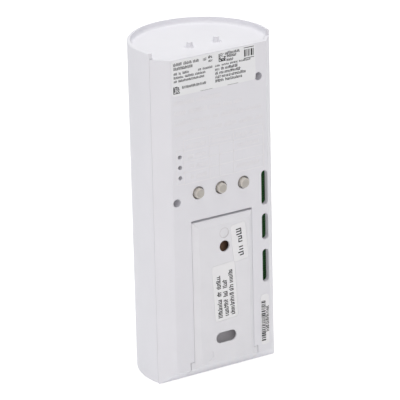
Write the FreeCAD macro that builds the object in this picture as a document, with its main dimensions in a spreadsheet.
import FreeCAD
import Part
import Sketcher
import math
import os
from types import SimpleNamespace

# Battery-powered occupancy sensor for a wall
#
# The sensor unit is a tall plastic housing: a round-fronted cover with the lens, and a flat
# rear housing with three buttons. It hangs on a bracket that is screwed to the wall, and
# slides up off it.
#
# Millimetres. +Z is up, the wall lies in the plane y = 0 and the sensor looks along -Y.
# The origin is the centre of the bracket's upper screw hole, on the wall.
# Sketches use the housing's own frame: x = 0 on its centre line, depth 0 at its flat back
# and growing towards the front, z = 0 at its bottom edge. place() carries that to the wall.

SHEET_ROWS = [
    # outside of the housing
    ("body_height", 110.75, "bottom edge to the top of the rim"),
    ("plate_drop", 1.95, "top plate below the rim"),
    ("cover_radius", 23.0, "round front of the cover"),
    ("cover_axis_depth", 10.4, "axis of that radius, behind the back face"),
    ("seam_depth", 4.8, "seam between rear housing and front cover"),
    ("seam_gap", 0.12, "open joint at the seam"),
    ("back_half", 17.9, "half the width of the flat back"),
    ("bevel_rise", 4.1, "bottom bevel, up the back"),
    ("back_wall", 1.6, "wall behind the flat back"),
    ("side_wall", 1.45, "rear housing's side wall, measured across"),
    ("tray_floor", 1.5, "rear housing's bottom wall"),
    ("cover_wall", 2.0, "front cover's wall"),
    ("plate_wall", 2.0, "front cover's top plate"),
    ("rim_wall", 1.0, "rim round the top plate"),
    ("edge_round", 0.4, "small rounding on moulded edges"),
    ("back_round", 0.8, "rounding along the flat back's two sides"),
    ("corner_round", 0.6, "rounding round the bottom bevel"),
    ("foot_round", 1.0, "rounding round the foot of the front cover"),
    ("gate_pin_spacing", 10.0, "the two moulding pips on the top plate"),
    ("gate_pin_depth", 8.8, "from the back face"),
    ("gate_pin_radius", 1.15, "at its foot"),
    ("gate_pin_taper", 7.0, "degrees"),
    ("gate_pin_rise", 1.75, "above the plate"),
    ("dimple_radius", 1.75, "sunk ring round each pip"),
    ("dimple_depth", 0.15, "sunk ring round each pip"),
    # bracket and the recess that takes it
    ("wall_stand", 1.3, "bracket's wall face, proud of the back"),
    ("recess_half", 11.45, "half the width between the lips"),
    ("recess_top", 54.6, "top of the recess"),
    ("lip_cover", 1.55, "how far each lip covers the channel"),
    ("lip_low", 6.7, "lower end of the lips, which stops on the bracket's feet"),
    ("stop_gap", 0.2, "between lip and foot"),
    ("slide_gap", 0.3, "clearance of the bracket in its channel"),
    ("lip_gap", 0.12, "between the wall face's sides and the lips"),
    ("top_gap", 0.75, "above the bracket in the recess"),
    ("corner_hole", 1.3, "width of the hole behind the recess's upper right corner"),
    ("foot_flare", 0.6, "how far the feet spread near the bottom"),
    ("flare_height", 3.3, "where the feet begin to spread"),
    ("flange_wall", 1.2, "bracket's sliding flanges"),
    ("recess_wall", 1.2, "walls of channel, recess floor and cradle"),
    ("margin", 1.95, "sloping margin round the wall face"),
    ("face_wall", 1.5, "bracket's plate behind the wall face"),
    ("bracket_rib", 3.2, "frame left round the hollow of the bracket"),
    ("hole_height", 44.3, "upper screw hole"),
    ("hole_radius", 1.875, "upper screw hole"),
    ("hole_land", 0.6, "straight wall of hole and slot at the wall face"),
    ("sink_taper", 45.0, "countersink behind that wall, degrees"),
    ("slot_height", 13.3, "lower screw slot"),
    ("slot_long", 7.7, "lower screw slot"),
    ("slot_wide", 3.7, "lower screw slot"),
    ("ring_radius", 1.75, "round ejector marks"),
    ("ring_sink", 0.2, "round ejector marks"),
    ("upper_ring_height", 48.75, "round ejector mark above the hole"),
    ("lower_ring_side", 6.55, "round ejector mark below the slot"),
    ("lower_ring_height", 8.2, "round ejector mark below the slot"),
    # openings in the back
    ("button_height", 63.65, "row of three buttons"),
    ("button_pitch", 8.5, "row of three buttons"),
    ("button_hole", 2.15, "radius"),
    ("button_radius", 1.85, "cap at the back face"),
    ("button_tip", 1.3, "radius of the cap's flat end"),
    ("button_proud", 1.2, "cap above the back face"),
    ("button_flange", 2.75, "radius of the flange that keeps the cap in"),
    ("button_flange_wall", 0.7, "thickness of that flange"),
    ("button_stem", 1.2, "radius of the stem under the flange"),
    ("press_gap", 0.55, "stem to switch, a little more than the travel"),
    ("led_inset", 2.85, "indicator holes, in from the back's edge"),
    ("led_height", 73.3, "middle one"),
    ("led_pitch", 3.425, "between them"),
    ("led_hole", 0.7, "radius"),
    ("vent_inset", 1.5, "narrow slots, in from the back's edge"),
    ("vent_wide", 2.4, "width of each slot"),
    ("vent_a_low", 54.4, "upper slot"),
    ("vent_a_long", 11.6, "upper slot"),
    ("vent_b_low", 42.55, "middle slot"),
    ("vent_b_long", 8.85, "middle slot"),
    ("vent_c_low", 28.0, "lower slot"),
    ("vent_c_long", 11.3, "lower slot"),
    ("well_radius", 1.35, "wells of the two housing screws"),
    ("well_wall", 0.9, "wall round each well"),
    ("well_ledge", 0.8, "ledge that the screw head pulls on"),
    ("low_screw_inset", 1.4, "left screw, in from the back's edge"),
    ("low_screw_height", 61.8, "left screw"),
    ("high_screw_inset", 3.1, "right screw, in from the back's edge"),
    ("high_screw_drop", 13.05, "right screw, below the rim"),
    ("screw_head", 1.25, "radius"),
    ("screw_head_tall", 1.0, "height of the head"),
    ("screw_socket", 0.55, "radius of the drive recess"),
    ("screw_shank", 0.8, "radius"),
    ("screw_long", 9.0, "under the head"),
    ("screw_clear", 0.25, "round the shank in ledge and board"),
    ("thread_clear", 0.05, "round the shank in its post"),
    # circuit board and posts
    ("board_gap", 0.9, "between recess floor and board"),
    ("board_wall", 1.6, "board thickness"),
    ("board_inset", 0.95, "board edge to the cover's inner wall"),
    ("board_low", 6.0, "lower edge of the board"),
    ("board_top_gap", 3.05, "between the board and the top plate"),
    ("board_corner", 3.0, "cut corners"),
    ("notch_gap", 0.5, "board to cradle"),
    ("touch_gap", 0.1, "between parts that rest on each other"),
    ("post_half", 2.3, "half the width of the square posts"),
    ("plain_post_inset", 1.5, "posts without a screw, in from the back's edge"),
    ("plain_post_height", 12.0, "posts without a screw"),
    ("peg_radius", 1.1, "pegs that hold the board down"),
    ("peg_inset", 1.2, "pegs, in from the back's edge"),
    ("peg_drop", 24.75, "upper pegs, below the rim"),
    # battery and contacts
    ("battery_radius", 8.5, "lithium cell"),
    ("battery_long", 34.5, "over its cap"),
    ("battery_cap_radius", 3.3, "positive cap"),
    ("battery_cap_tall", 1.0, "positive cap"),
    ("battery_round", 0.8, "crimped edges"),
    ("bay_low", 15.0, "lower end of the battery bay"),
    ("bay_gap", 0.3, "round the battery"),
    ("battery_sink", 0.4, "battery below the recess floor's face"),
    ("spring_space", 2.0, "below the battery"),
    ("contact_space", 1.7, "above the battery"),
    ("spring_wire", 0.6, "wire diameter"),
    ("spring_base", 5.0, "radius of the largest turn"),
    ("spring_turns", 3.0, "turns of the spring"),
    ("spring_pitch_out", 0.85, "from turn to turn, outwards"),
    ("contact_wall", 0.4, "sheet of the positive contact"),
    ("contact_half", 5.5, "half its width"),
    ("contact_deep", 10.0, "its depth in the bay"),
    ("contact_bump", 2.2, "radius of the pressed bump"),
    # electronics
    ("switch_half", 3.0, "half the width of a push switch"),
    ("switch_tall", 1.6, "body of the switch"),
    ("plunger_radius", 1.6, "switch plunger"),
    ("plunger_tall", 0.5, "switch plunger"),
    ("led_long", 1.6, "indicator package"),
    ("led_wide", 0.9, "indicator package"),
    ("led_tall", 0.9, "indicator package"),
    ("can_radius", 4.1, "detector can"),
    ("can_tall", 4.2, "detector can"),
    ("can_flange", 4.7, "detector header radius"),
    ("can_flange_wall", 0.6, "detector header"),
    ("can_window", 1.9, "half the detector's window"),
    ("chip_gap", 0.6, "between the controller's leads and the screw post"),
    ("chip_drop", 7.0, "both chips, below the board's upper edge"),
    ("chip_half", 2.5, "half the controller's width"),
    ("chip_tall", 0.9, "controller's thickness"),
    ("lead_wide", 0.3, "controller's leads"),
    ("lead_long", 0.9, "controller's leads"),
    ("lead_pitch", 0.8, "controller's leads"),
    ("radio_half", 2.0, "half the radio chip's width"),
    ("radio_tall", 0.8, "radio chip's thickness"),
    ("crystal_long", 3.2, "crystal can"),
    ("crystal_wide", 2.5, "crystal can"),
    ("crystal_tall", 0.8, "crystal can"),
    ("crystal_drop", 12.5, "crystal, below the board's upper edge"),
    ("capacitor_radius", 3.15, "storage capacitor"),
    ("capacitor_tall", 5.8, "storage capacitor"),
    ("capacitor_side", 9.0, "storage capacitor"),
    ("capacitor_gap", 1.95, "between the capacitor and the board's notch"),
    ("antenna_wire", 0.8, "wire diameter"),
    ("antenna_half", 11.0, "half the span of the wire bow"),
    ("antenna_rise", 5.0, "bow above the board"),
    ("antenna_bend", 2.0, "bend radius"),
    ("antenna_drop", 1.6, "below the board's upper edge"),
    # lens
    ("retainer_clear", 0.25, "between the lens frame's sides and its own curve"),
    ("window_clear", 0.6, "between the lens frame and the two screw posts"),
    ("window_corner", 2.5, "corner radius"),
    ("lens_gap", 0.1, "round the lens"),
    ("lens_flange", 2.4, "lens edge behind the cover"),
    ("lens_wall", 0.8, "lens sheet"),
    ("lens_inset", 0.45, "lens face below the cover's face"),
    ("lens_groove", 0.12, "depth of the lines between segments"),
    ("lens_groove_wide", 0.35, "width of the lines between segments"),
    ("retainer_wall", 1.2, "frame that holds the lens"),
    ("retainer_rim", 1.0, "retainer beyond the lens flange"),
    # labels
    ("label_wall", 0.12, "thickness of a label"),
    ("label_corner", 0.9, "corner radius"),
    ("label_gap", 0.08, "round a label in its recess"),
    ("rating_left_inset", 0.55, "rating label, in from the back's left edge"),
    ("rating_right_inset", 4.2, "rating label, in from the back's right edge"),
    ("rating_drop", 0.3, "rating label, below the top plate"),
    ("rating_tall", 11.5, "rating label"),
    ("serial_inset", 0.6, "serial label, in from the back's right edge"),
    ("serial_wide", 3.1, "serial label"),
    ("serial_low", 6.5, "serial label's lower edge"),
    ("serial_tall", 17.3, "serial label"),
    ("origin_side", 0.15, "larger bracket label, centre"),
    ("origin_height", 28.8, "larger bracket label, centre"),
    ("origin_wide", 8.7, "larger bracket label"),
    ("origin_long", 19.1, "larger bracket label"),
    ("origin_tilt", -3.0, "larger bracket label, degrees"),
    ("date_side", -5.7, "smaller bracket label, centre"),
    ("date_height", 44.55, "smaller bracket label, centre"),
    ("date_wide", 5.7, "smaller bracket label"),
    ("date_long", 12.6, "smaller bracket label"),
    ("date_tilt", -5.5, "smaller bracket label, degrees"),
]

LENS_ROWS = 3
LENS_COLUMNS = 7
MCU_LEADS = 5
SEEN_FROM_BEHIND = (("left", 1), ("centre", 0), ("right", -1))


class Size:
    """A length that keeps its number together with the sheet formula it comes from."""

    def __init__(self, number, formula=None):
        self.number = float(number)
        self.formula = formula or repr(float(number))

    def joined(self, sign, other, number):
        return Size(number, f"({self.formula} {sign} {other.formula})")

    def __add__(self, other):
        other = as_size(other)
        return self.joined("+", other, self.number + other.number)

    def __sub__(self, other):
        other = as_size(other)
        return self.joined("-", other, self.number - other.number)

    def __mul__(self, other):
        other = as_size(other)
        return self.joined("*", other, self.number * other.number)

    def __truediv__(self, other):
        other = as_size(other)
        return self.joined("/", other, self.number / other.number)

    def __radd__(self, other):
        return as_size(other) + self

    def __rsub__(self, other):
        return as_size(other) - self

    def __rmul__(self, other):
        return as_size(other) * self

    def __neg__(self):
        return as_size(0) - self


def as_size(value):
    return value if isinstance(value, Size) else Size(value)


def root(size):
    return Size(math.sqrt(size.number), f"sqrt({size.formula})")


def across(radius, offset):
    """Half the chord of a circle, offset away from its centre."""
    return root(radius * radius - offset * offset)


doc = FreeCAD.newDocument("occupancy_sensor")
sheet = doc.addObject("Spreadsheet::Sheet", "sizes")
s = SimpleNamespace()
for row, (alias, number, meaning) in enumerate(SHEET_ROWS, start=1):
    sheet.set(f"A{row}", alias)
    sheet.set(f"B{row}", str(number))
    sheet.setAlias(f"B{row}", alias)
    sheet.set(f"C{row}", meaning)
    setattr(s, alias, Size(number, f"sizes.{alias}"))
doc.recompute()

# Sizes that follow from the sheet

plate_level = s.body_height - s.plate_drop
seam_half = across(s.cover_radius, s.cover_axis_depth - s.seam_depth)
side_slope = (seam_half - s.back_half) / s.seam_depth
cover_edge = s.seam_depth + s.seam_gap
channel_half = s.recess_half + s.lip_cover
flange_depth = s.back_wall + s.slide_gap
bracket_depth = flange_depth + s.flange_wall
recess_depth = bracket_depth + s.slide_gap
recess_back = recess_depth + s.recess_wall
bracket_half = s.recess_half - s.lip_gap
bracket_top = s.recess_top - s.top_gap
board_depth = recess_back + s.board_gap
board_front = board_depth + s.board_wall
board_high = plate_level - s.plate_wall - s.board_top_gap
chip_height = board_high - s.chip_drop
board_half = across(s.cover_radius - s.cover_wall, s.cover_axis_depth - board_depth) - s.board_inset
battery_depth = recess_depth + s.battery_sink + s.battery_radius
battery_low = s.bay_low + s.spring_space
battery_high = battery_low + s.battery_long
bay_high = battery_high + s.contact_space
bay_half = s.battery_radius + s.bay_gap
cradle_half = bay_half + s.recess_wall
notch_top = bay_high + s.recess_wall + s.notch_gap
capacitor_height = notch_top + s.capacitor_gap + s.capacitor_radius
led_side = s.back_half - s.led_inset
vent_side = s.back_half - s.vent_inset
plain_post_side = s.back_half - s.plain_post_inset
peg_side = s.back_half - s.peg_inset
peg_high = s.body_height - s.peg_drop
low_screw_side = s.back_half - s.low_screw_inset
high_screw_side = s.back_half - s.high_screw_inset
high_screw_height = s.body_height - s.high_screw_drop
lead_reach = s.chip_half + s.lead_long
chip_side = high_screw_side - s.post_half - s.chip_gap - lead_reach
well_floor = board_depth - s.touch_gap - s.well_ledge
switch_top = board_depth - s.switch_tall - s.plunger_tall
inner_radius = s.cover_radius - s.cover_wall
lens_outer = inner_radius - s.lens_gap
lens_inner = lens_outer - s.lens_wall
lens_face = s.cover_radius - s.lens_inset
retainer_reach = s.lens_flange + s.retainer_rim
retainer_inner = lens_inner - s.lens_gap - s.retainer_wall
window_half = retainer_inner - s.retainer_clear - retainer_reach
post_reach = s.post_half + s.window_clear + retainer_reach
window_low = s.low_screw_height + post_reach
window_high = high_screw_height - post_reach
window_middle = (window_low + window_high) / 2
window_half_tall = (window_high - window_low) / 2
PAST = 1.0
SCREWS = (
    (low_screw_side, s.low_screw_height),
    (-high_screw_side, high_screw_height),
)
PLAIN_POSTS = (
    (plain_post_side, s.plain_post_height),
    (-plain_post_side, s.plain_post_height),
)
PEGS = (
    (peg_side, peg_high),
    (-peg_side, peg_high),
    (peg_side, s.plain_post_height),
    (-peg_side, s.plain_post_height),
)


# Helpers: bodies, sketches and features bound to the sheet


def bind(thing, prop, size):
    thing.setExpression(prop, as_size(size).formula)


def place(thing, side=0, depth=0, height=0):
    """Put a piece at a point of the housing's frame, carried to the wall's frame."""
    bind(thing, "Placement.Base.x", side)
    bind(thing, "Placement.Base.y", -(depth + s.wall_stand))
    bind(thing, "Placement.Base.z", height - s.hole_height)


def new_body(name, side=0, depth=0, height=0):
    body = doc.addObject("PartDesign::Body", name)
    body.Label = name
    place(body, side, depth, height)
    return body


def new_sketch(body, name, role, offset=0):
    """A sketch on one of the body's own planes. XY looks up, XZ towards the front."""
    plane = next(f for f in body.Origin.OriginFeatures if f.Role == role)
    sketch = body.newObject("Sketcher::SketchObject", f"{body.Name}_{name}")
    sketch.AttachmentSupport = [(plane, "")]
    sketch.MapMode = "FlatFace"
    bind(sketch, "AttachmentOffset.Base.z", offset)
    return sketch


def hold(sketch, kind, geometry, point, size):
    size = as_size(size)
    constraint = Sketcher.Constraint(kind, -1, 1, geometry, point, size.number)
    index = sketch.addConstraint(constraint)
    sketch.setExpression(f"Constraints[{index}]", size.formula)


def draw_outline(sketch, corners):
    """A closed outline. A corner is (x, y), or (x, y, centre x, centre y, turn) where an arc
    about that centre runs to the next corner, turn +1 anticlockwise or -1 clockwise."""
    corners = [tuple(as_size(v) for v in corner) for corner in corners]
    drawn = []
    for corner, following in zip(corners, corners[1:] + corners[:1]):
        x0, y0 = corner[0].number, corner[1].number
        x1, y1 = following[0].number, following[1].number
        if len(corner) == 2:
            line = Part.LineSegment(FreeCAD.Vector(x0, y0, 0), FreeCAD.Vector(x1, y1, 0))
            drawn.append((sketch.addGeometry(line, False), 1, 2, None))
            continue
        cx, cy, turn = (v.number for v in corner[2:])
        middle = Part.Circle(
            FreeCAD.Vector(cx, cy, 0), FreeCAD.Vector(0, 0, 1), math.hypot(x0 - cx, y0 - cy)
        )
        begin = math.atan2(y0 - cy, x0 - cx)
        end = math.atan2(y1 - cy, x1 - cx)
        angles = (begin, end) if turn > 0 else (end, begin)
        ends = (1, 2) if turn > 0 else (2, 1)
        arc = Part.ArcOfCircle(middle, *angles)
        upright = abs(y1 - y0) > abs(x1 - x0)
        centre = ("DistanceX", corner[2]) if upright else ("DistanceY", corner[3])
        drawn.append((sketch.addGeometry(arc, False), *ends, centre))
    for (geometry, first, last, centre), (after, start, _, _) in zip(drawn, drawn[1:] + drawn[:1]):
        sketch.addConstraint(Sketcher.Constraint("Coincident", geometry, last, after, start))
    for (geometry, first, last, centre), corner in zip(drawn, corners):
        hold(sketch, "DistanceX", geometry, first, corner[0])
        hold(sketch, "DistanceY", geometry, first, corner[1])
        if centre:
            hold(sketch, centre[0], geometry, 3, centre[1])


def draw_box(sketch, x0, y0, x1, y1):
    draw_outline(sketch, [(x0, y0), (x1, y0), (x1, y1), (x0, y1)])


def draw_rounded_box(sketch, x0, y0, x1, y1, radius):
    left, right, low, high = x0 + radius, x1 - radius, y0 + radius, y1 - radius
    draw_outline(
        sketch,
        [
            (left, y0),
            (right, y0, right, low, 1),
            (x1, low),
            (x1, high, right, high, 1),
            (right, y1),
            (left, y1, left, high, 1),
            (x0, high),
            (x0, low, left, low, 1),
        ],
    )


def draw_slot_upright(sketch, x, low, high, wide):
    half = wide / 2
    draw_outline(
        sketch,
        [
            (x + half, low + half),
            (x + half, high - half, x, high - half, 1),
            (x - half, high - half),
            (x - half, low + half, x, low + half, 1),
        ],
    )


def draw_slot_level(sketch, y, half_long, wide):
    half = wide / 2
    draw_outline(
        sketch,
        [
            (half - half_long, y - half),
            (half_long - half, y - half, half_long - half, y, 1),
            (half_long - half, y + half),
            (half - half_long, y + half, half - half_long, y, 1),
        ],
    )


def draw_circle(sketch, x, y, radius):
    x, y, radius = as_size(x), as_size(y), as_size(radius)
    circle = Part.Circle(
        FreeCAD.Vector(x.number, y.number, 0), FreeCAD.Vector(0, 0, 1), radius.number
    )
    geometry = sketch.addGeometry(circle, False)
    hold(sketch, "DistanceX", geometry, 3, x)
    hold(sketch, "DistanceY", geometry, 3, y)
    index = sketch.addConstraint(Sketcher.Constraint("Radius", geometry, radius.number))
    sketch.setExpression(f"Constraints[{index}]", radius.formula)


def draw_front(sketch, radius, edge, axis_depth):
    """The D of the front cover: a round front closed by a straight chord at depth edge."""
    half = across(radius, axis_depth - edge)
    draw_outline(sketch, [(-half, -edge, 0, -axis_depth, 1), (half, -edge)])


def draw_cradle(sketch, half, top):
    """A U round the battery, open towards the back."""
    draw_outline(
        sketch,
        [
            (-half, -top),
            (-half, -battery_depth, 0, -battery_depth, 1),
            (half, -battery_depth),
            (half, -top),
        ],
    )


def draw_band(sketch, outer, inner, half):
    """A curved sheet about the sketch's origin, reaching half to each side."""
    far, near = across(outer, half), across(inner, half)
    draw_outline(
        sketch,
        [(-half, -far, 0, 0, 1), (half, -far), (half, -near, 0, 0, -1), (-half, -near)],
    )


def pad(body, name, sketch, length, symmetric=False, taper=None):
    """Add the sketch's area, from its plane along its own direction."""
    feature = body.newObject("PartDesign::Pad", f"{body.Name}_{name}")
    feature.Profile = sketch
    bind(feature, "Length", length)
    if symmetric:
        feature.SideType = "Symmetric"
    if taper is not None:
        bind(feature, "TaperAngle", taper)
    return feature


def cut(body, name, sketch, length, symmetric=False, taper=None):
    """Take the sketch's area away, from its plane along its own direction."""
    feature = body.newObject("PartDesign::Pocket", f"{body.Name}_{name}")
    feature.Profile = sketch
    bind(feature, "Length", length)
    if taper is not None:
        bind(feature, "TaperAngle", taper)
    if symmetric:
        feature.SideType = "Symmetric"
    else:
        feature.Reversed = True
    return feature


def revolve(body, name, corners):
    """Turn a half outline, drawn as (radius, height), about the body's own Y axis."""
    sketch = new_sketch(body, f"{name}_outline", "XY_Plane")
    draw_outline(sketch, corners)
    feature = body.newObject("PartDesign::Revolution", f"{body.Name}_{name}")
    feature.Profile = sketch
    feature.ReferenceAxis = (sketch, ["V_Axis"])
    feature.Angle = 360.0
    return feature


def round_edges(body, name, radius, wanted):
    """Round the edges of the body that the test picks out."""
    doc.recompute()
    tip = body.Tip
    names = [f"Edge{n}" for n, edge in enumerate(tip.Shape.Edges, start=1) if wanted(edge)]
    feature = body.newObject("PartDesign::Fillet", f"{body.Name}_{name}")
    feature.Base = (tip, names)
    bind(feature, "Radius", radius)
    return feature


def lies(edge, axis, value):
    """Does the edge lie in the plane where this coordinate has this value?"""
    box = edge.BoundBox
    low = getattr(box, f"{axis}Min")
    high = getattr(box, f"{axis}Max")
    return abs(low - value) < 1e-4 and abs(high - value) < 1e-4


def xz(body, name, depth):
    return new_sketch(body, name, "XZ_Plane", depth)


def xy(body, name, height):
    return new_sketch(body, name, "XY_Plane", height)


def cut_through_back(body, name, sketch, depth):
    """Cut from just outside the back face down to a depth."""
    return cut(body, name, sketch, depth + PAST)


def bevel_bottom(body, half):
    """Cut the wedge under the back face, along the whole width."""
    sketch = new_sketch(body, "bevel_outline", "YZ_Plane")
    rise = s.bevel_rise / s.seam_depth
    beyond = s.wall_stand + PAST
    draw_outline(
        sketch,
        [
            (-s.seam_depth, 0),
            (-s.seam_depth, -PAST),
            (beyond, -PAST),
            (beyond, s.bevel_rise + rise * beyond),
        ],
    )
    cut(body, "bevel", sketch, half * 2 + 2 * PAST, symmetric=True)


# Rear housing: the flat back with its bevelled sides, recess, cradle and screw wells


def rear_housing():
    body = new_body("rear_housing")
    outer = xy(body, "outer_outline", 0)
    draw_outline(
        outer,
        [
            (-s.back_half, 0),
            (-seam_half, -s.seam_depth),
            (seam_half, -s.seam_depth),
            (s.back_half, 0),
        ],
    )
    pad(body, "outer", outer, plate_level)
    round_edges(
        body,
        "back_edges",
        s.back_round,
        lambda e: lies(e, "Y", 0) and any(lies(e, "X", v * s.back_half.number) for v in (1, -1)),
    )

    bevel_inside = s.bevel_rise * (1 - s.back_wall / s.seam_depth) + s.tray_floor
    inside_back = s.back_half + side_slope * s.back_wall - s.side_wall
    inside_seam = seam_half - s.side_wall
    inside = xy(body, "inside_outline", bevel_inside)
    draw_outline(
        inside,
        [
            (-inside_back, -s.back_wall),
            (-inside_seam, -s.seam_depth),
            (inside_seam, -s.seam_depth),
            (inside_back, -s.back_wall),
        ],
    )
    cut(body, "inside", inside, plate_level)

    foot_inside = new_sketch(body, "foot_inside_outline", "YZ_Plane")
    draw_outline(
        foot_inside,
        [
            (-s.seam_depth, s.tray_floor),
            (-s.back_wall, bevel_inside),
            (-s.seam_depth, bevel_inside),
        ],
    )
    cut(body, "foot_inside", foot_inside, inside_back * 2, symmetric=True)

    block_half = channel_half + s.recess_wall
    block = xz(body, "recess_block_outline", s.back_wall / 2)
    draw_box(block, -block_half, 0, block_half, s.recess_top + s.recess_wall)
    pad(body, "recess_block", block, recess_back - s.back_wall / 2)

    cradle = xy(body, "cradle_outline", s.bay_low - s.recess_wall)
    draw_cradle(cradle, cradle_half, recess_depth)
    pad(body, "cradle", cradle, bay_high - s.bay_low + 2 * s.recess_wall)

    bosses = xz(body, "boss_outline", s.back_wall)
    for side, height in SCREWS:
        draw_circle(bosses, side, height, s.well_radius + s.well_wall)
    pad(body, "bosses", bosses, board_depth - s.touch_gap - s.back_wall)

    pegs = xz(body, "peg_outline", s.back_wall / 2)
    for side, height in PEGS:
        draw_circle(pegs, side, height, s.peg_radius)
    pad(body, "pegs", pegs, board_depth - s.touch_gap - s.back_wall / 2)

    bevel_bottom(body, seam_half)
    back, seam = s.back_half.number, seam_half.number
    round_edges(
        body,
        "bevel_edges",
        s.corner_round,
        lambda e: e.BoundBox.ZMax < s.bevel_rise.number
        and e.BoundBox.ZMin < 1e-4
        and max(abs(e.BoundBox.XMin), abs(e.BoundBox.XMax)) > seam - 1e-4
        and min(abs(e.BoundBox.XMin), abs(e.BoundBox.XMax)) < seam - 1,
    )

    channel = xz(body, "channel_outline", s.back_wall)
    draw_box(channel, -channel_half, -PAST, channel_half, s.recess_top)
    cut(body, "channel", channel, recess_depth - s.back_wall)

    lips = xz(body, "lip_outline", -PAST)
    draw_box(lips, -s.recess_half, -PAST, s.recess_half, s.recess_top)
    cut_through_back(body, "lips", lips, s.back_wall)

    corner = xz(body, "corner_hole_outline", s.back_wall)
    draw_box(
        corner,
        -s.recess_half,
        s.recess_top - s.top_gap,
        s.corner_hole - s.recess_half,
        s.recess_top,
    )
    cut(body, "corner_hole", corner, recess_back - s.back_wall + PAST)

    foot = xz(body, "foot_outline", -PAST)
    flared = channel_half + s.foot_flare
    draw_outline(
        foot,
        [
            (-flared, -PAST),
            (flared, -PAST),
            (channel_half, s.flare_height),
            (channel_half, s.lip_low),
            (-channel_half, s.lip_low),
            (-channel_half, s.flare_height),
        ],
    )
    cut_through_back(body, "foot", foot, s.back_wall)

    bay = xy(body, "bay_outline", s.bay_low)
    draw_cradle(bay, bay_half, s.back_wall)
    cut(body, "bay", bay, bay_high - s.bay_low)

    holes = xz(body, "hole_outline", -PAST)
    for _, sign in SEEN_FROM_BEHIND:
        draw_circle(holes, sign * s.button_pitch, s.button_height, s.button_hole)
        draw_circle(holes, led_side, s.led_height + sign * s.led_pitch, s.led_hole)
    cut_through_back(body, "holes", holes, s.back_wall + PAST)

    vents = xz(body, "vent_outline", -PAST)
    for low, long in (
        (s.vent_a_low, s.vent_a_long),
        (s.vent_b_low, s.vent_b_long),
        (s.vent_c_low, s.vent_c_long),
    ):
        draw_slot_upright(vents, -vent_side, low, low + long, s.vent_wide)
    cut_through_back(body, "vents", vents, s.back_wall + PAST)

    wells = xz(body, "well_outline", -PAST)
    shanks = xz(body, "shank_outline", -PAST)
    for side, height in SCREWS:
        draw_circle(wells, side, height, s.well_radius)
        draw_circle(shanks, side, height, s.screw_shank + s.screw_clear)
    cut_through_back(body, "wells", wells, well_floor)
    cut_through_back(body, "shanks", shanks, board_depth)

    return body


# Front cover: the round shell with its rim, top plate, posts and lens window


def wall_point(side, radius):
    return (side, -s.cover_axis_depth - across(radius, side))


def front_cover():
    body = new_body("front_cover")
    outer = xy(body, "outer_outline", 0)
    draw_front(outer, s.cover_radius, cover_edge, s.cover_axis_depth)
    pad(body, "outer", outer, s.body_height)

    well = xy(body, "rim_outline", plate_level)
    draw_front(well, s.cover_radius - s.rim_wall, cover_edge, s.cover_axis_depth)
    cut(body, "rim", well, s.plate_drop + PAST)

    inside = xy(body, "inside_outline", s.cover_wall)
    draw_front(inside, inner_radius, cover_edge, s.cover_axis_depth)
    cut(body, "inside", inside, plate_level - s.plate_wall - s.cover_wall)

    tongue = xy(body, "tongue_outline", plate_level - s.plate_wall)
    tongue_back = s.back_wall + s.seam_gap
    half_back = s.back_half + side_slope * tongue_back - s.side_wall - s.seam_gap
    half_seam = seam_half - s.side_wall - s.seam_gap
    root_depth = cover_edge + s.cover_wall / 2
    draw_outline(
        tongue,
        [
            (-half_back, -tongue_back),
            (-half_seam, -s.seam_depth),
            (-half_seam, -root_depth),
            (half_seam, -root_depth),
            (half_seam, -s.seam_depth),
            (half_back, -tongue_back),
        ],
    )
    pad(body, "tongue", tongue, s.plate_wall)

    middle_radius = s.cover_radius - s.cover_wall / 2
    for number, (side, height) in enumerate(SCREWS + PLAIN_POSTS):
        post = xy(body, f"post_{number}_outline", height - s.post_half)
        left, right = side - s.post_half, side + s.post_half
        draw_outline(
            post,
            [
                (left, -board_front),
                wall_point(left, middle_radius),
                wall_point(right, middle_radius),
                (right, -board_front),
            ],
        )
        pad(body, f"post_{number}", post, s.post_half * 2)

    bores = xz(body, "bore_outline", board_front)
    for side, height in SCREWS:
        draw_circle(bores, side, height, s.screw_shank + s.thread_clear)
    cut(body, "bores", bores, s.screw_long - s.board_wall)

    window = xz(body, "window_outline", s.cover_axis_depth + s.cover_wall)
    draw_rounded_box(
        window, -window_half, window_low, window_half, window_high, s.window_corner
    )
    cut(body, "window", window, s.cover_radius)

    dimples = xy(body, "dimple_outline", plate_level - s.dimple_depth)
    pins = xy(body, "gate_pin_outline", plate_level - s.dimple_depth)
    for sign in (1, -1):
        side = sign * s.gate_pin_spacing / 2
        draw_circle(dimples, side, -s.gate_pin_depth, s.dimple_radius)
        draw_circle(pins, side, -s.gate_pin_depth, s.gate_pin_radius)
    cut(body, "dimples", dimples, s.dimple_depth + PAST)
    pad(body, "gate_pins", pins, s.gate_pin_rise + s.dimple_depth, taper=-s.gate_pin_taper)

    axis, radius = s.cover_axis_depth.number, s.cover_radius.number
    top = s.body_height.number
    round_edges(
        body,
        "rim_edge",
        s.edge_round,
        lambda e: is_outer_arc(e, axis, radius) and lies(e, "Z", top),
    )
    round_edges(
        body,
        "foot_edge",
        s.foot_round,
        lambda e: is_outer_arc(e, axis, radius) and lies(e, "Z", 0),
    )
    return body


def is_outer_arc(edge, axis_depth, radius):
    curve = edge.Curve
    return (
        isinstance(curve, Part.Circle)
        and abs(curve.Radius - radius) < 1e-4
        and abs(curve.Center.y + axis_depth) < 1e-4
    )


# Lens: a curved sheet with a raised face in the window, and the frame behind it


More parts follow.
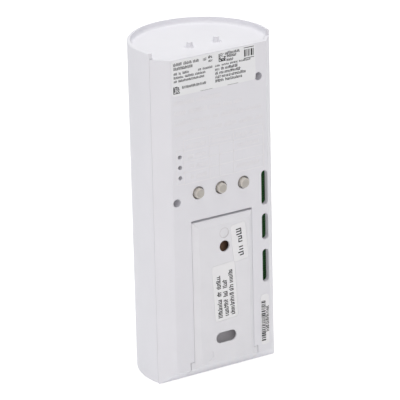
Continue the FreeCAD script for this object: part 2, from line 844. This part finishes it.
def curved_block(name, outer, inner, half, half_tall, corner, cut_lines=None):
    """A piece of curved sheet whose outline, seen from the front, is a rounded rectangle."""
    band = new_body(f"{name}_band", depth=s.cover_axis_depth, height=window_middle)
    outline = xy(band, "outline", -half_tall)
    draw_band(outline, outer, inner, half)
    pad(band, "sheet", outline, half_tall * 2)
    if cut_lines:
        cut_lines(band, outer, half, half_tall)
    opening = new_body(f"{name}_opening", depth=s.cover_axis_depth, height=window_middle)
    prism = xz(opening, "outline", 0)
    draw_rounded_box(prism, -half, -half_tall, half, half_tall, corner)
    pad(opening, "prism", prism, s.cover_radius + PAST)
    block = doc.addObject("Part::Common", name)
    block.Base = band
    block.Tool = opening
    return block


def cut_segment_lines(band, outer, half, half_tall):
    """The fine lines that part the lens into its segments, rows first and then columns."""
    floor = outer - s.lens_groove
    wide = s.lens_groove_wide
    for number in range(1, LENS_ROWS):
        height = half_tall * 2 * number / LENS_ROWS - half_tall - wide / 2
        row = xy(band, f"row_line_{number}_outline", height)
        draw_band(row, outer + PAST, floor, half)
        cut(band, f"row_line_{number}", row, wide)
    columns = xy(band, "column_line_outline", -half_tall)
    for number in range(1, LENS_COLUMNS):
        side = half * 2 * number / LENS_COLUMNS - half
        left, right = side - wide / 2, side + wide / 2
        draw_outline(
            columns,
            [
                (left, -(outer + PAST)),
                (right, -(outer + PAST)),
                (right, -across(floor, right)),
                (left, -across(floor, left)),
            ],
        )
    cut(band, "column_lines", columns, half_tall * 2)


def fresnel_lens():
    """A flange behind the cover and a thin face that stands forward in the window."""
    half, tall = window_half - s.lens_gap, window_half_tall - s.lens_gap
    corner = s.window_corner - s.lens_gap
    flange = new_body("lens_flange", depth=s.cover_axis_depth, height=window_middle)
    flange_tall = window_half_tall + s.lens_flange
    outline = xy(flange, "outline", -flange_tall)
    draw_band(outline, lens_outer, lens_inner, window_half + s.lens_flange)
    pad(flange, "sheet", outline, flange_tall * 2)

    middle = (lens_outer + lens_inner) / 2
    face = curved_block("lens_face", lens_face, middle, half, tall, corner, cut_segment_lines)
    thin = s.lens_wall
    hollow = curved_block(
        "lens_hollow", lens_face - thin, lens_inner - PAST, half - thin, tall - thin, corner - thin
    )
    solid = doc.addObject("Part::Fuse", "lens_solid")
    solid.Base = flange
    solid.Tool = face
    lens = doc.addObject("Part::Cut", "fresnel_lens")
    lens.Base = solid
    lens.Tool = hollow
    lens.Label = "fresnel_lens"
    return lens


def lens_retainer():
    body = new_body("lens_retainer", depth=s.cover_axis_depth, height=window_middle)
    outer = lens_inner - s.lens_gap
    half = window_half + retainer_reach
    tall = window_half_tall + retainer_reach
    band = xy(body, "band_outline", -tall)
    draw_band(band, outer, outer - s.retainer_wall, half)
    pad(body, "band", band, tall * 2)
    opening = xz(body, "opening_outline", 0)
    draw_rounded_box(
        opening,
        -window_half,
        -window_half_tall,
        window_half,
        window_half_tall,
        s.window_corner,
    )
    cut(body, "opening", opening, s.cover_radius)
    return body


# Bracket: a plate with sliding flanges, feet and a raised wall face


def draw_label(sketch, wide, long, spread=0):
    half_wide, half_long = wide / 2 + spread, long / 2 + spread
    draw_rounded_box(sketch, -half_wide, -half_long, half_wide, half_long, s.label_corner + spread)


def tilt_sketch(sketch, side, height, angle):
    turned = FreeCAD.Rotation(FreeCAD.Vector(0, 0, 1), 10)
    sketch.AttachmentOffset = FreeCAD.Placement(FreeCAD.Vector(0, 0, 0), turned)
    bind(sketch, "AttachmentOffset.Base.x", side)
    bind(sketch, "AttachmentOffset.Base.y", height)
    bind(sketch, "AttachmentOffset.Rotation.Angle", angle)


BRACKET_LABELS = (
    ("origin_label", s.origin_side, s.origin_height, s.origin_wide, s.origin_long, s.origin_tilt),
    ("date_label", s.date_side, s.date_height, s.date_wide, s.date_long, s.date_tilt),
)


def mounting_bracket():
    body = new_body("mounting_bracket")
    foot_half = channel_half - s.slide_gap
    foot_top = s.lip_low - s.stop_gap
    plate = xz(body, "plate_outline", 0)
    draw_outline(
        plate,
        [
            (-foot_half - s.foot_flare, 0),
            (foot_half + s.foot_flare, 0),
            (foot_half, s.flare_height),
            (foot_half, foot_top),
            (bracket_half, foot_top),
            (bracket_half, bracket_top),
            (-bracket_half, bracket_top),
            (-bracket_half, foot_top),
            (-foot_half, foot_top),
            (-foot_half, s.flare_height),
        ],
    )
    pad(body, "plate", plate, flange_depth + s.flange_wall / 2)

    flanges = xz(body, "flange_outline", flange_depth)
    draw_box(flanges, -foot_half, 0, foot_half, bracket_top)
    pad(body, "flanges", flanges, s.flange_wall)

    low = xz(body, "face_foot", 0)
    draw_box(low, -bracket_half, 0, bracket_half, bracket_top)
    high = xz(body, "face_top", -s.wall_stand)
    draw_box(high, s.margin - bracket_half, 0, bracket_half - s.margin, bracket_top - s.margin)
    face = body.newObject("PartDesign::AdditiveLoft", "mounting_bracket_face")
    face.Profile = low
    face.Sections = [high]
    face.Ruled = True

    bevel_bottom(body, foot_half + s.foot_flare)

    hollow = xz(body, "hollow_outline", s.face_wall - s.wall_stand)
    draw_rounded_box(
        hollow,
        s.bracket_rib - bracket_half,
        s.bevel_rise + s.bracket_rib,
        bracket_half - s.bracket_rib,
        bracket_top - s.bracket_rib,
        s.label_corner,
    )
    cut(body, "hollow", hollow, bracket_depth)

    holes = xz(body, "hole_outline", -s.wall_stand - PAST)
    sinks = xz(body, "sink_outline", s.hole_land - s.wall_stand)
    for sketch in (holes, sinks):
        draw_circle(sketch, 0, s.hole_height, s.hole_radius)
        draw_slot_level(sketch, s.slot_height, s.slot_long / 2, s.slot_wide)
    cut(body, "holes", holes, s.face_wall + 2 * PAST)
    cut(body, "sinks", sinks, s.face_wall - s.hole_land, taper=s.sink_taper)

    for name, side, height, wide, long, angle in BRACKET_LABELS:
        recess = xz(body, f"{name}_recess_outline", -s.wall_stand - PAST)
        tilt_sketch(recess, side, height, angle)
        draw_label(recess, wide, long, s.label_gap)
        cut(body, f"{name}_recess", recess, s.label_wall + PAST)

    marks = xz(body, "ejector_outline", -s.wall_stand - PAST)
    draw_circle(marks, 0, s.upper_ring_height, s.ring_radius)
    draw_circle(marks, s.lower_ring_side, s.lower_ring_height, s.ring_radius)
    cut(body, "ejector_marks", marks, s.ring_sink + PAST)
    return body


def bracket_label(name, side, height, wide, long, angle):
    body = new_body(name)
    outline = xz(body, "outline", -s.wall_stand)
    tilt_sketch(outline, side, height, angle)
    draw_label(outline, wide, long)
    pad(body, "sheet", outline, s.label_wall)
    return body


def housing_label(name, left, right, low, tall):
    body = new_body(name)
    outline = xz(body, "outline", -s.label_wall)
    draw_rounded_box(outline, right, low, left, low + tall, s.label_corner)
    pad(body, "sheet", outline, s.label_wall)
    return body


# Circuit board and what is soldered to it


def circuit_board():
    body = new_body("circuit_board")
    notch_half = cradle_half + s.notch_gap
    outline = xz(body, "outline", board_depth)
    draw_outline(
        outline,
        [
            (-notch_half, s.board_low),
            (-notch_half, notch_top),
            (notch_half, notch_top),
            (notch_half, s.board_low),
            (board_half, s.board_low),
            (board_half, board_high - s.board_corner),
            (board_half - s.board_corner, board_high),
            (s.board_corner - board_half, board_high),
            (-board_half, board_high - s.board_corner),
            (-board_half, s.board_low),
        ],
    )
    pad(body, "sheet", outline, s.board_wall)
    holes = xz(body, "hole_outline", board_depth - PAST)
    for side, height in SCREWS:
        draw_circle(holes, side, height, s.screw_shank + s.screw_clear)
    cut(body, "holes", holes, s.board_wall + 2 * PAST)
    return body


def push_switch(name, sign):
    body = new_body(name, sign * s.button_pitch, board_depth, s.button_height)
    case = xz(body, "case_outline", -s.switch_tall)
    half = s.switch_half
    draw_rounded_box(case, -half, -half, half, half, s.edge_round)
    pad(body, "case", case, s.switch_tall)
    plunger = xz(body, "plunger_outline", -s.switch_tall - s.plunger_tall)
    draw_circle(plunger, 0, 0, s.plunger_radius)
    pad(body, "plunger", plunger, s.plunger_tall)
    return body


def button_cap(name, sign):
    """A turned outline: domed cap, flange behind the wall and a short stem."""
    body = new_body(name, sign * s.button_pitch, 0, s.button_height)
    flange_top = -(s.back_wall + s.slide_gap)
    flange_low = flange_top - s.button_flange_wall
    stem_low = s.press_gap - switch_top
    shoulder = s.button_proud - s.edge_round / 2
    revolve(
        body,
        "cap",
        [
            (0, stem_low),
            (s.button_stem, stem_low),
            (s.button_stem, flange_low),
            (s.button_flange, flange_low),
            (s.button_flange, flange_top),
            (s.button_radius, flange_top),
            (s.button_radius, 0),
            (s.button_tip + s.edge_round / 4, shoulder),
            (s.button_tip - s.edge_round / 4, s.button_proud),
            (0, s.button_proud),
        ],
    )
    return body


def status_led(name, sign):
    body = new_body(name, led_side, board_depth, s.led_height + sign * s.led_pitch)
    base = xz(body, "base_outline", -s.led_tall / 3)
    draw_box(base, -s.led_wide / 2, -s.led_long / 2, s.led_wide / 2, s.led_long / 2)
    pad(body, "base", base, s.led_tall / 3)
    lens = xz(body, "lens_outline", -s.led_tall)
    draw_box(lens, -s.led_wide / 2, -s.led_long / 3, s.led_wide / 2, s.led_long / 3)
    pad(body, "lens", lens, s.led_tall * 2 / 3)
    return body


def motion_detector():
    body = new_body("motion_detector", 0, board_front, window_middle)
    top = -(s.can_flange_wall + s.can_tall)
    rounded = s.edge_round
    revolve(
        body,
        "can",
        [
            (0, 0),
            (0, top),
            (s.can_radius - rounded, top, s.can_radius - rounded, top + rounded, 1),
            (s.can_radius, top + rounded),
            (s.can_radius, -s.can_flange_wall),
            (s.can_flange, -s.can_flange_wall),
            (s.can_flange, 0),
        ],
    )
    window = xz(body, "window_outline", -top - rounded / 2)
    draw_box(window, -s.can_window, -s.can_window, s.can_window, s.can_window)
    cut(body, "window", window, rounded)
    return body


def microcontroller():
    body = new_body("microcontroller", -chip_side, board_front, chip_height)
    case = xz(body, "case_outline", 0)
    draw_box(case, -s.chip_half, -s.chip_half, s.chip_half, s.chip_half)
    pad(body, "case", case, s.chip_tall)
    leads = xz(body, "lead_outline", 0)
    for number in range(MCU_LEADS):
        middle = s.lead_pitch * (number - (MCU_LEADS - 1) / 2)
        low, high = middle - s.lead_wide / 2, middle + s.lead_wide / 2
        draw_box(leads, -lead_reach, low, lead_reach, high)
    pad(body, "leads", leads, s.lead_wide)
    return body


def board_box(name, side, height, long, wide, tall):
    """A plain block on the board's front face."""
    block = doc.addObject("Part::Box", name)
    block.Label = name
    bind(block, "Length", long)
    bind(block, "Width", tall)
    bind(block, "Height", wide)
    place(block, side - long / 2, board_front + tall, height - wide / 2)
    return block


def storage_capacitor():
    body = new_body("storage_capacitor", s.capacitor_side, board_front, capacitor_height)
    radius = s.capacitor_radius
    base = xz(body, "base_outline", 0)
    draw_box(base, -radius, -radius, radius, radius)
    pad(body, "base", base, s.edge_round * 2)
    can = xz(body, "can_outline", 0)
    draw_circle(can, 0, 0, radius - s.edge_round / 2)
    pad(body, "can", can, s.capacitor_tall)
    return body


def antenna_wire():
    """A bow of round wire that stands on the board's front face."""
    body = new_body("antenna_wire", 0, board_front, board_high - s.antenna_drop)
    half, rise, bend = s.antenna_half, s.antenna_rise, s.antenna_bend
    spine = xy(body, "spine", 0)
    points = [(-half, 0), (-half, bend - rise), (bend - half, -rise)]
    points += [(half - bend, -rise), (half, bend - rise), (half, 0)]
    centres = {1: -half + bend, 3: half - bend}
    drawn = []
    corners = [FreeCAD.Vector(as_size(x).number, as_size(y).number, 0) for x, y in points]
    runs = len(points) - 1
    for number in range(runs):
        ends = corners[number : number + 2]
        if number in centres:
            middle = FreeCAD.Vector(centres[number].number, (bend - rise).number, 0)
            circle = Part.Circle(middle, FreeCAD.Vector(0, 0, 1), bend.number)
            angles = [math.atan2(e.y - middle.y, e.x - middle.x) for e in ends]
            drawn.append(spine.addGeometry(Part.ArcOfCircle(circle, *angles), False))
        else:
            drawn.append(spine.addGeometry(Part.LineSegment(*ends), False))
    for run, following in zip(drawn, drawn[1:]):
        spine.addConstraint(Sketcher.Constraint("Coincident", run, 2, following, 1))
    for run, (x, y) in zip(drawn, points):
        hold(spine, "DistanceX", run, 1, x)
        hold(spine, "DistanceY", run, 1, y)
    hold(spine, "DistanceX", drawn[-1], 2, points[-1][0])
    hold(spine, "DistanceY", drawn[-1], 2, points[-1][1])
    for number, side in centres.items():
        hold(spine, "DistanceX", drawn[number], 3, side)
    section = xz(body, "section", 0)
    draw_circle(section, -half, 0, s.antenna_wire / 2)
    wire = body.newObject("PartDesign::AdditivePipe", "antenna_wire_bow")
    wire.Profile = section
    wire.Spine = (spine, [f"Edge{n}" for n in range(1, runs + 1)])
    return body


# Battery, its contacts and the two screws


def battery():
    """Upright cell: a crimped can with its positive cap at the top."""
    body = new_body("battery", 0, battery_depth, battery_low)
    radius, soft = s.battery_radius, s.battery_round
    shoulder = s.battery_long - s.battery_cap_tall
    sketch = new_sketch(body, "outline", "XZ_Plane")
    draw_outline(
        sketch,
        [
            (0, 0),
            (radius - soft, 0, radius - soft, soft, 1),
            (radius, soft),
            (radius, shoulder - soft, radius - soft, shoulder - soft, 1),
            (radius - soft, shoulder),
            (s.battery_cap_radius, shoulder),
            (s.battery_cap_radius, s.battery_long),
            (0, s.battery_long),
        ],
    )
    can = body.newObject("PartDesign::Revolution", "battery_can")
    can.Profile = sketch
    can.ReferenceAxis = (sketch, ["V_Axis"])
    can.Angle = 360.0
    return body


def positive_contact():
    """A sheet that lies against the upper end of the bay, with a bump pressed down."""
    body = new_body("positive_contact", 0, battery_depth, bay_high)
    sheet_outline = xy(body, "sheet_outline", -s.contact_wall)
    half, deep = s.contact_half, s.contact_deep / 2
    draw_rounded_box(sheet_outline, -half, -deep, half, deep, s.edge_round)
    pad(body, "sheet", sheet_outline, s.contact_wall)
    bump = xy(body, "bump_outline", s.touch_gap - s.contact_space)
    draw_circle(bump, 0, 0, s.contact_bump)
    pad(body, "bump", bump, s.contact_space - s.touch_gap - s.contact_wall / 2)
    return body


def negative_spring():
    """A cone of round wire wound flat, wide at the foot and narrow at the battery."""
    wire = s.spring_wire.number
    base = s.spring_base.number
    turns = s.spring_turns.number
    inward = s.spring_pitch_out.number
    rise = (s.spring_space.number - wire) / turns
    steps = 12
    count = round(turns * steps)
    points = []
    for n in range(count + 1):
        turned = 2 * math.pi * n / steps
        radius = base - inward * n / steps
        height = wire / 2 + rise * n / steps
        points.append(
            FreeCAD.Vector(radius * math.cos(turned), radius * math.sin(turned), height)
        )
    line = Part.BSplineCurve()
    line.interpolate(points)
    path = Part.Wire([line.toShape()])
    tangent = line.tangent(line.FirstParameter)[0]
    ring = Part.Wire([Part.makeCircle(wire / 2, points[0], tangent)])
    spring = doc.addObject("Part::Feature", "negative_spring")
    spring.Label = "negative_spring"
    spring.Shape = path.makePipeShell([ring], True, True)
    place(spring, 0, battery_depth, s.bay_low)
    return spring


def housing_screws():
    """The two screws that pull rear housing, board and front cover together."""
    screws = []
    for number, (side, height) in enumerate(SCREWS):
        body = new_body(f"housing_screw_{number}", side, well_floor, height)
        head, tall = s.screw_head, s.screw_head_tall
        tip = -s.screw_long
        revolve(
            body,
            "turned",
            [
                (0, tip),
                (s.screw_shank, tip + s.screw_shank),
                (s.screw_shank, 0),
                (head, 0),
                (head, tall - s.edge_round / 2),
                (head - s.edge_round / 2, tall),
                (s.screw_socket, tall),
                (0, tall - s.screw_socket),
            ],
        )
        screws.append(body)
    both = doc.addObject("Part::Compound", "housing_screws")
    both.Label = "housing_screws"
    both.Links = screws
    return both


# The whole sensor

pieces = [
    mounting_bracket(),
    *[bracket_label(*label) for label in BRACKET_LABELS],
    rear_housing(),
    front_cover(),
    fresnel_lens(),
    lens_retainer(),
    circuit_board(),
    battery(),
    positive_contact(),
    negative_spring(),
    motion_detector(),
    microcontroller(),
    board_box(
        "radio_chip",
        chip_side,
        chip_height,
        s.radio_half * 2,
        s.radio_half * 2,
        s.radio_tall,
    ),
    board_box(
        "timing_crystal",
        -chip_side,
        board_high - s.crystal_drop,
        s.crystal_long,
        s.crystal_wide,
        s.crystal_tall,
    ),
    storage_capacitor(),
    antenna_wire(),
    housing_screws(),
    housing_label(
        "rating_label",
        s.back_half - s.rating_left_inset,
        s.rating_right_inset - s.back_half,
        plate_level - s.rating_drop - s.rating_tall,
        s.rating_tall,
    ),
    housing_label(
        "serial_label",
        s.serial_inset + s.serial_wide - s.back_half,
        s.serial_inset - s.back_half,
        s.serial_low,
        s.serial_tall,
    ),
]
for word, sign in SEEN_FROM_BEHIND:
    pieces.append(push_switch(f"switch_{word}", sign))
    pieces.append(button_cap(f"button_{word}", sign))
for word, sign in (("upper", 1), ("middle", 0), ("lower", -1)):
    pieces.append(status_led(f"status_led_{word}", sign))

doc.recompute()

# Every object has to be sound, and every cut has to take something away

for thing in doc.Objects:
    if "Invalid" in thing.State or "Error" in thing.State:
        raise RuntimeError(f"{thing.Name} failed: {thing.State}")
    if thing.TypeId == "PartDesign::Pocket":
        before = thing.BaseFeature.Shape.Volume
        if thing.Shape.Volume > before - 1e-6:
            raise RuntimeError(f"{thing.Name} cuts nothing")
for piece in pieces:
    if piece.Shape.isNull() or not piece.Shape.isValid():
        raise RuntimeError(f"{piece.Label} has no valid shape")

os.makedirs("parts", exist_ok=True)
for piece in pieces:
    piece.Shape.exportStep(f"parts/{piece.Label}.step")
    print(piece.Label, len(piece.Shape.Solids), round(piece.Shape.Volume, 2))
